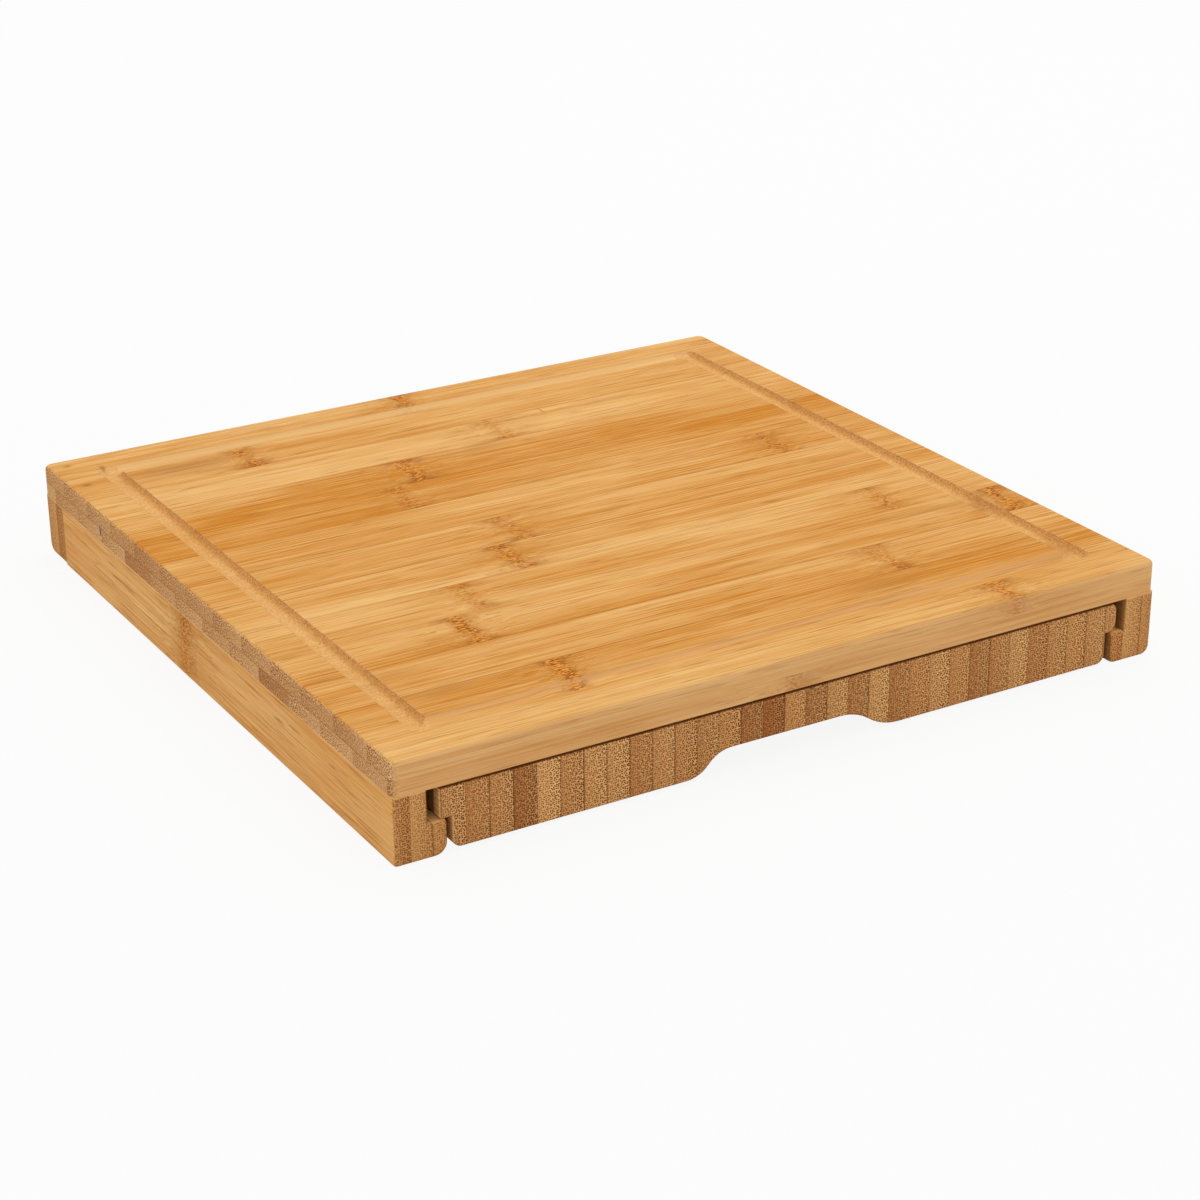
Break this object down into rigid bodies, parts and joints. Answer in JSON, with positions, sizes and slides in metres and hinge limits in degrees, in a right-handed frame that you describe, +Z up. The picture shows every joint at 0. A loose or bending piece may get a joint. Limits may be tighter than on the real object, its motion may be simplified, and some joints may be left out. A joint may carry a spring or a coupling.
{
  "type": "cutting board with slide-out drawer",
  "caption": "Square bamboo cutting board with a juice groove, on rails that carry a full-depth slide-out drawer with milled tray compartments and a finger recess.",
  "frame": {"origin": "on the table, under the middle of the board", "axes": "+X to the right along the top's grain, +Y from the drawer's front to the rear rail, +Z up"},
  "size_m": [0.33, 0.325, 0.0395],
  "materials": {
    "bamboo_top": "oiled laminated bamboo, long grain left to right",
    "bamboo_rail": "oiled laminated bamboo, grain along each rail",
    "bamboo_drawer": "oiled laminated bamboo on edge, end grain at the front",
    "screw_steel": "zinc-plated steel",
    "magnet_plating": "nickel-plated magnet"
  },
  "bodies": {
    "board": {"top_board": "bamboo_top", "left_rail": "bamboo_rail", "right_rail": "bamboo_rail", "rear_rail": "bamboo_rail", "left_rail_screws": "screw_steel", "right_rail_screws": "screw_steel", "rear_rail_screws": "screw_steel", "rear_rail_magnets": "magnet_plating"},
    "drawer": {"drawer": "bamboo_drawer", "drawer_magnets": "magnet_plating"}
  },
  "joints": [
    {"name": "drawer_slide", "type": "slide", "parent": "board", "child": "drawer", "axis": [0, -1, 0], "range_m": [0, 0.25]}
  ]
}
